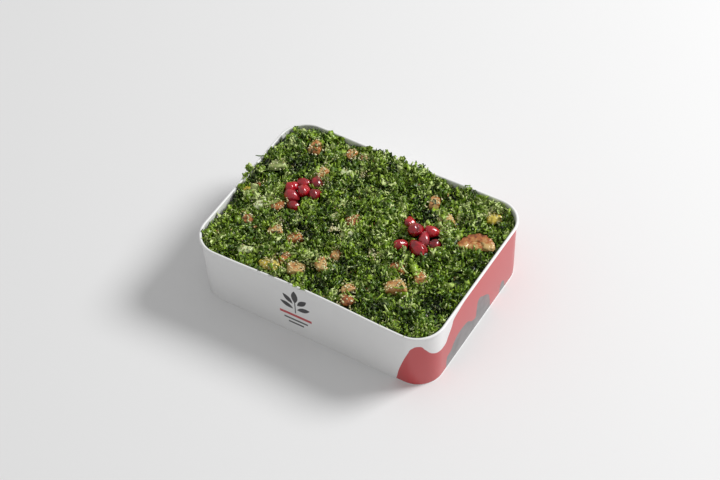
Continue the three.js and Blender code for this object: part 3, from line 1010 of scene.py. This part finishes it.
leaflet_masters = [
    leaf_master(4, 2.8, 1.7, 0.22, 0.45, 1.1, 11),
    leaf_master(4, 2.4, 1.9, 0.26, 0.55, 1.4, 12),
]
sprig_masters = [
    sprig_master(5, 4.2, 1.9, 21),
    sprig_master(4, 3.2, 1.7, 22),
    sprig_master(5, 5.6, 1.5, 23),
]
frill_masters = [
    leaf_master(6, 6.6, 3.2, 0.28, 0.8, 1.1, 1),
    leaf_master(6, 5.4, 2.8, 0.34, 1.0, 1.6, 2),
    leaf_master(6, 7.6, 2.6, 0.30, 0.9, 0.8, 3),
    leaf_master(6, 5.0, 3.8, 0.25, 1.1, 1.3, 4),
]
flake_masters = [
    leaf_master(4, 3.8, 2.5, 0.18, 0.4, 0.7, 5),
    leaf_master(4, 3.0, 2.3, 0.22, 0.5, 1.1, 6),
    leaf_master(4, 4.6, 2.0, 0.20, 0.45, 0.9, 7),
]
shred_masters = [
    stalk_master(3, 5, 5.2, 0.36, 0.9),
    stalk_master(3, 5, 3.8, 0.32, 1.5),
    stalk_master(3, 5, 6.4, 0.34, 0.5),
    stalk_master(3, 7, 8.0, 0.38, 1.9),
]
blade_masters = [
    leaf_master(8, 8.4, 4.4, 0.34, 1.3, 1.2, 31),
    leaf_master(8, 7.2, 3.6, 0.38, 1.2, 1.7, 32),
    leaf_master(8, 9.6, 3.4, 0.30, 1.0, 0.9, 33),
]
stem_masters = [
    stalk_master(6, 3, 5.5, 0.55, 0.3),
    stalk_master(6, 3, 4.0, 0.7, 0.2),
    stalk_master(6, 3, 8.5, 0.5, 0.5),
]


# Each kind of cut parsley: its name, masters, number, sizes, tilt, depth under the heap's top, spread of
# tone, shift of tone and the share let onto the dice
CUTS = [
    ("parsley_sprigs", sprig_masters, 1000, (1.0, 1.9), 0.5, 1.8, 0.22, 0.06, 0.0),
    ("parsley_frills", frill_masters, 2100, (1.1, 1.9), 0.7, 3.2, 0.22, 0.0, 0.03),
    ("parsley_flakes", flake_masters, 2800, (0.9, 1.6), 0.8, 2.6, 0.26, 0.05, 0.08),
    ("parsley_shreds", shred_masters, 3000, (1.0, 1.8), 0.5, 1.2, 0.28, 0.22, 0.08),
    ("parsley_stems", stem_masters, 420, (0.9, 1.5), 0.35, 1.6, 0.12, 0.28, 0.05),
    ("parsley_blades", blade_masters, 520, (0.8, 1.2), 0.45, 1.0, 0.26, 0.10, 0.0),
]
for name, masters, count, sizes, tilt, depth, spread, tone_shift, over_dice in CUTS:
    centre, below = heap_spots(rng, count, 1.0, depth, 1.6, over_dice)
    amount = len(centre)
    kind = rng.integers(0, len(masters), amount)
    size = rng.uniform(*sizes, amount)
    tone = np.clip(tones(rng, centre, below, spread) + tone_shift, 0, 1)
    cuts = strewn(name, masters, kind, centre, turned(rng, amount, tilt), size, tone)
    cuts.data.materials.append(leaf_finish)
    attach(cuts, "root")

# Where leaves stand over the rim: place, spread, rise over the rim and number of leaves
TUFTS = [
    (-84.5, 1, 2.4, 2.0, 10), (-84, 9, 2.2, 1.4, 8), (-68, 56.5, 2.2, 1.2, 9),
    (-13, 58.5, 3.8, 4.2, 26), (-4, 59, 3.0, 2.6, 14), (9, 59.5, 3.0, 2.0, 12), (26, 57.5, 3.2, 0.8, 9),
    (46, 58, 3.0, 0.0, 8), (66, 56, 3.0, 0.0, 8), (-34, -59.4, 1.6, 0.7, 5),
]
tuft_spots = []
for tuft_x, tuft_y, spread, rise, leaves in TUFTS:
    x = rng.normal(tuft_x, spread * 0.55, leaves)
    y = rng.normal(tuft_y, spread * 0.55, leaves)
    cx, cy = corner_centre(x, y)
    over_rim = np.hypot(x - cx, y - cy) > INNER_TOP - 1.2
    lowest = np.where(over_rim, TRAY_HEIGHT + 0.4, sampled(heap_grid, x, y))
    falling = np.exp(-((x - tuft_x) ** 2 + (y - tuft_y) ** 2) / spread ** 2)
    highest = np.maximum(TRAY_HEIGHT + rise * falling, lowest + 0.1)
    tuft_spots.append(np.stack([x, y, rng.uniform(lowest, highest)], -1))
tuft_spots = np.concatenate(tuft_spots)
amount = len(tuft_spots)
tuft_tone = np.clip(tones(rng, tuft_spots, np.zeros(amount), 0.22) + 0.1, 0, 1)
tuft_masters = sprig_masters + frill_masters + shred_masters
tuft_kind = rng.integers(0, 10, amount)
tuft_turn = turned(rng, amount, 0.6)
tuft_size = rng.uniform(0.6, 1.0, amount)
tufts = strewn("parsley_tufts", tuft_masters, tuft_kind, tuft_spots, tuft_turn, tuft_size, tuft_tone)
tufts.data.materials.append(leaf_finish)
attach(tufts, "root")

# One thin stalk lies out over the left end of the rim
LONE_STALK = np.array([[-84.6, 20.8, TRAY_HEIGHT + 0.9]])
lone_turn = np.array([Matrix.Rotation(math.radians(215), 3, "Z")])
lone_size = np.array([1.35])
lone_tone = np.array([0.3])
lone_kind = np.array([2])
lone_stalk = strewn("lone_stalk", shred_masters, lone_kind, LONE_STALK, lone_turn, lone_size, lone_tone)
lone_stalk.data.materials.append(leaf_finish)
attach(lone_stalk, "root")
parsley_masters = leaflet_masters + sprig_masters + frill_masters + flake_masters + shred_masters
for master in parsley_masters + stem_masters + blade_masters:
    bpy.data.objects.remove(master)

# ---------------------------------------------------------------------------------------------
# Bulgur
# Fine cracked wheat, swollen and glossy with dressing. The grains lie all over the heap in drifts
# and cling in crowds to the tomato.
# ---------------------------------------------------------------------------------------------
GRAIN_COUNT = 3400
GRAIN_SIZE = 0.62
CLING_PER_PIECE = 30
DRIFT_SHARE = 0.75
CROWDS = [  # place, spread, number of grains and how high they lie
    (-32, -52, 5.0, 70, 3.0), (68, 50, 4.5, 80, 2.8), (-20, 40, 3.5, 40, 0.8), (44, -30, 4.0, 60, 0.8),
    (-46, -20, 3.5, 40, 0.8), (-12, -10, 4.0, 40, 0.8), (20, -16, 5.0, 50, 0.8), (-64, 40, 4.0, 40, 0.8),
]


def grain_master(long, wide, high):
    """A cracked grain: a coarse ball with one side knocked flat."""
    deselect_all()
    bpy.ops.mesh.primitive_uv_sphere_add(segments=6, ring_count=4, radius=GRAIN_SIZE * MM)
    grain = bpy.context.object
    bpy.ops.object.mode_set(mode="EDIT")
    bpy.ops.transform.resize(value=(long, wide, high))
    bpy.ops.mesh.quads_convert_to_tris()
    bpy.ops.object.mode_set(mode="OBJECT")
    for vertex in grain.data.vertices:
        vertex.co.z = max(vertex.co.z, -0.55 * GRAIN_SIZE * MM)
    set_across(grain, np.zeros(len(grain.data.loops)))
    return grain


grain_masters = [grain_master(1.35, 0.85, 0.8), grain_master(1.1, 0.95, 0.75), grain_master(0.85, 0.75, 0.7)]
drift_field = waves(rng, 14, 9, 34)
loose, below = heap_spots(rng, GRAIN_COUNT, 1.2, 1.4, 0.6, 0.7)
in_drift = swell(drift_field, loose[:, 0], loose[:, 1]) + rng.normal(0, 0.35, len(loose))
loose = loose[in_drift > np.quantile(in_drift, 1 - DRIFT_SHARE)]
loose[:, 2] += 0.5
clinging = []
for name in DICE:
    low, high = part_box(name)
    many = CLING_PER_PIECE if name.startswith("tomato_piece") else CLING_PER_PIECE // 3
    x = rng.uniform(low.x / MM - 1, high.x / MM + 1, many)
    y = rng.uniform(low.y / MM - 1, high.y / MM + 1, many)
    z = sampled(dice_grid, x, y)
    z = np.where(np.isnan(z), sampled(heap_grid, x, y) + 0.5, z) + 0.15
    clinging.append(np.stack([x, y, z], -1))
for crowd_x, crowd_y, spread, many, rise in CROWDS:
    x = rng.normal(crowd_x, spread * 0.5, many)
    y = rng.normal(crowd_y, spread * 0.5, many)
    z = sampled(heap_grid, x, y) + rise + rng.uniform(-0.8, 0.8, many)
    clinging.append(np.stack([x, y, z], -1))
centre = np.concatenate([loose] + clinging)
amount = len(centre)
bulgur = strewn("bulgur_grains", grain_masters, rng.integers(0, 3, amount), centre,
                turned(rng, amount, 0.7), rng.uniform(0.7, 1.2, amount), rng.uniform(0, 1, amount))
BULGUR_DEEP = (0.40, 0.33, 0.10, 1)
BULGUR_GOLD = (0.70, 0.66, 0.34, 1)
BULGUR_PALE = (0.90, 0.88, 0.62, 1)
BULGUR_SHADE = (0.34, 0.28, 0.09, 1)
bulgur_finish, tree, shader, place = finish_of("bulgur")
ramp = tree.nodes.new("ShaderNodeValToRGB")
ramp.color_ramp.elements[0].color = BULGUR_DEEP
ramp.color_ramp.elements[1].color = BULGUR_PALE
ramp.color_ramp.elements.new(0.45).color = BULGUR_GOLD
tree.links.new(attribute(tree, "tone"), ramp.inputs["Fac"])
grain_colour = mottled(tree, place, 1500, 2, (0.4, 0.7, 0.35), ramp.outputs["Color"], BULGUR_SHADE)
tree.links.new(grain_colour, shader.inputs["Base Color"])
tree.links.new(relief(tree, place, 2500, 2, 0.08), shader.inputs["Normal"])
shader.inputs["Roughness"].default_value = 0.28
bulgur.data.materials.append(bulgur_finish)
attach(bulgur, "root")
for master in grain_masters:
    bpy.data.objects.remove(master)

# ---------------------------------------------------------------------------------------------
# Pomegranate arils
# Two spoonfuls of juicy seeds: taut, glossy, dark red sacs with a paler root end.
# ---------------------------------------------------------------------------------------------
ARIL_DEEP = (0.075, 0.002, 0.005, 1)
ARIL_RED = (0.46, 0.006, 0.016, 1)
ARIL_DUSKY = (0.30, 0.04, 0.055, 1)
ARIL_SWELL = 1.2

aril_finish, tree, shader, place = finish_of("pomegranate")
cloud = math_node(tree, "ADD", noise(tree, place, 240, 2), attribute(tree, "tone"))
red = mixed(tree, ranged(tree, cloud, 0.55, 1.0), ARIL_DEEP, ARIL_RED)
tree.links.new(mixed(tree, ranged(tree, cloud, 1.1, 1.45), red, ARIL_DUSKY), shader.inputs["Base Color"])
shader.inputs["Roughness"].default_value = 0.2
shader.inputs["Coat Weight"].default_value = 0.7
shader.inputs["Coat Roughness"].default_value = 0.05
shader.inputs["Subsurface Weight"].default_value = 0.2
shader.inputs["Subsurface Radius"].default_value = (0.002, 0.0004, 0.0004)
tree.links.new(relief(tree, place, 420, 2, 0.4), shader.inputs["Normal"])
facets = waves(rng, 8, 3, 6)

for name in ARILS:
    aril = merged_copy(name, name.replace("pomegranate_aril", "aril"))
    subdivided(aril, 2)
    points = corners(aril)
    middle = points.mean(0)
    grown = ARIL_SWELL + 0.08 * swell(facets, points[:, 0] + points[:, 2], points[:, 1] - points[:, 2])
    set_corners(aril, middle + (points - middle) * grown[:, None])
    bpy.ops.object.shade_smooth()
    set_tone(aril, rng.uniform(0.15, 0.85))
    aril.data.materials.append(aril_finish)
    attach(aril, "root")
    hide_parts(name)

# ---------------------------------------------------------------------------------------------
# Tomato and pale vegetable
# Diced tomato, wet and seedy, from red-brown skin to tan flesh, one half slice laid at the right end,
# and a few pale green chips. Golden clumps and fine crumbs of both lie between the leaves.
# ---------------------------------------------------------------------------------------------
flesh_lumps = waves(rng, 10, 1.8, 4.5)
PULP_SIDE = (0.52, -0.86, 0)


def flesh_surface_group():
    """Moist cut flesh: blotched between a dark, a middle and a light tone, with a grainy relief."""
    inputs = [("Place", "Vector"), ("Tone", "Float")]
    inputs += [(name, "Color") for name in ("Dark", "Middle", "Light")]
    surface = [("Colour", "Color"), ("Normal", "Vector")]
    group, given, results = group_of("flesh_surface", inputs, surface)
    patchy = ranged(group, noise(group, given["Place"], 330, 3), 0.35, 0.65, 0.2, 0.9)
    blotch = ranged(group, math_node(group, "ADD", patchy, given["Tone"]), 0.45, 1.55)
    darker = mixed(group, ranged(group, blotch, 0, 0.45), given["Dark"], given["Middle"])
    group.links.new(mixed(group, ranged(group, blotch, 0.45, 1), darker, given["Light"]), results["Colour"])
    group.links.new(relief(group, given["Place"], 620, 3, 0.5), results["Normal"])
    return group


flesh_surface = flesh_surface_group()


def flesh_finish(name, dark, middle, light):
    """A wet flesh of three tones; each piece keeps its own share of them."""
    material, tree, shader, place = finish_of(name)
    tones_of = {"Dark": dark, "Middle": middle, "Light": light}
    surface = grouped(tree, flesh_surface, {"Place": place, "Tone": attribute(tree, "tone")} | tones_of)
    tree.links.new(surface["Colour"], shader.inputs["Base Color"])
    tree.links.new(surface["Normal"], shader.inputs["Normal"])
    shader.inputs["Roughness"].default_value = 0.26
    shader.inputs["Coat Weight"].default_value = 0.35
    shader.inputs["Coat Roughness"].default_value = 0.1
    return material


TOMATO_TONES = ((0.15, 0.033, 0.012, 1), (0.45, 0.150, 0.036, 1), (0.62, 0.42, 0.16, 1))
PALE_TONES = ((0.18, 0.24, 0.06, 1), (0.48, 0.57, 0.20, 1), (0.76, 0.82, 0.52, 1))
GOLDEN_TONES = ((0.24, 0.17, 0.015, 1), (0.56, 0.42, 0.04, 1), (0.76, 0.66, 0.17, 1))
tomato_finish = flesh_finish("tomato", *TOMATO_TONES)
pale_finish = flesh_finish("pale_vegetable", *PALE_TONES)
golden_finish = flesh_finish("golden_clump", *GOLDEN_TONES)

for name in CHUNKS:
    chunk = merged_copy(name, name.replace("piece", "dice").replace("tomato_slice", "half_slice"))
    subdivided(chunk, 2, "SIMPLE")
    bpy.ops.object.mode_set(mode="EDIT")
    bpy.ops.mesh.select_all(action="SELECT")
    bpy.ops.mesh.vertices_smooth(factor=0.5, repeat=3)
    bpy.ops.object.mode_set(mode="OBJECT")
    points = corners(chunk)
    middle = points.mean(0)
    bulge = 1.03 + 0.06 * swell(flesh_lumps, points[:, 0] + points[:, 2], points[:, 1] - points[:, 2])
    set_corners(chunk, middle + (points - middle) * bulge[:, None])
    bpy.ops.object.shade_smooth()
    is_tomato = name.startswith("tomato")
    own_tone = rng.uniform(0.2, 0.95)
    if name == "tomato_slice":
        toward_pulp = (points - middle) @ np.array(PULP_SIDE)
        own_tone = np.clip(0.52 + toward_pulp * 0.11, 0.05, 0.95)
    set_tone(chunk, own_tone)
    chunk.data.materials.append(tomato_finish if is_tomato else pale_finish)
    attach(chunk, "root")
    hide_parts(name)


def lump(name, x, y, sink, half, turn, tone, finish, slot):
    """A moist, knobbly lump pressed into the heap: a ball flattened, swelled and turned."""
    deselect_all()
    bpy.ops.mesh.primitive_uv_sphere_add(segments=48, ring_count=24, radius=MM)
    piece = bpy.context.object
    piece.name = name
    ball = corners(piece)
    knobs = 1 + 0.1 * swell(flesh_lumps, ball[:, 0] * 5 + x, ball[:, 1] * 5 + y)
    height = float(sampled(heap_grid, np.array([x]), np.array([y]))[0]) - sink
    about_z = np.array(Matrix.Rotation(math.radians(turn), 3, "Z"))
    set_corners(piece, (ball * knobs[:, None] * half) @ about_z.T + (x, y, height))
    bpy.ops.object.shade_smooth()
    set_tone(piece, tone)
    piece.data.materials.append(finish)
    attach(piece, "root")


lump("slice_pulp", *PULP_CENTRE, 0.2, (6.4, 4.6, 1.7), 20, 0.62, tomato_finish, "tomato")
lump("golden_clump_front", -32, -52.5, -0.8, (6.8, 4.4, 2.4), 10, 0.6, golden_finish, "pale_vegetable")
lump("golden_clump_right", 68, 50.5, -1.4, (5.4, 4.2, 2.5), 40, 0.42, golden_finish, "pale_vegetable")
lump("golden_clump_left", -77.5, -7, -1.2, (3.6, 3.0, 2.0), 0, 0.45, golden_finish, "pale_vegetable")


def crumb_master(long, wide, high):
    """A small cut cube with soft corners: its length, width and height."""
    deselect_all()
    bpy.ops.mesh.primitive_ico_sphere_add(subdivisions=2, radius=1)
    crumb = bpy.context.object
    for vertex in crumb.data.vertices:
        boxy = [math.copysign(abs(side) ** 0.55, side) for side in vertex.co]
        vertex.co = Vector((boxy[0] * long, boxy[1] * wide, boxy[2] * high)) * MM / 2
    set_across(crumb, np.zeros(len(crumb.data.loops)))
    return crumb


crumb_masters = [crumb_master(2.6, 2.0, 1.2), crumb_master(3.6, 1.7, 1.0), crumb_master(2.0, 1.8, 1.5)]
CRUMBS = [  # name, number, finish and slot
    ("tomato_crumbs", 190, tomato_finish, "tomato"),
    ("pale_crumbs", 210, pale_finish, "pale_vegetable"),
]
for name, count, finish, slot in CRUMBS:
    spots, below = heap_spots(rng, count, 2.0, 0.8, 1.4, 0.1)
    amount = len(spots)
    crumbs = strewn(name, crumb_masters, rng.integers(0, 3, amount), spots, turned(rng, amount, 0.5),
                    rng.uniform(0.7, 1.35, amount), rng.uniform(0.2, 0.9, amount))
    crumbs.data.materials.append(finish)
    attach(crumbs, "root")
for master in crumb_masters:
    bpy.data.objects.remove(master)
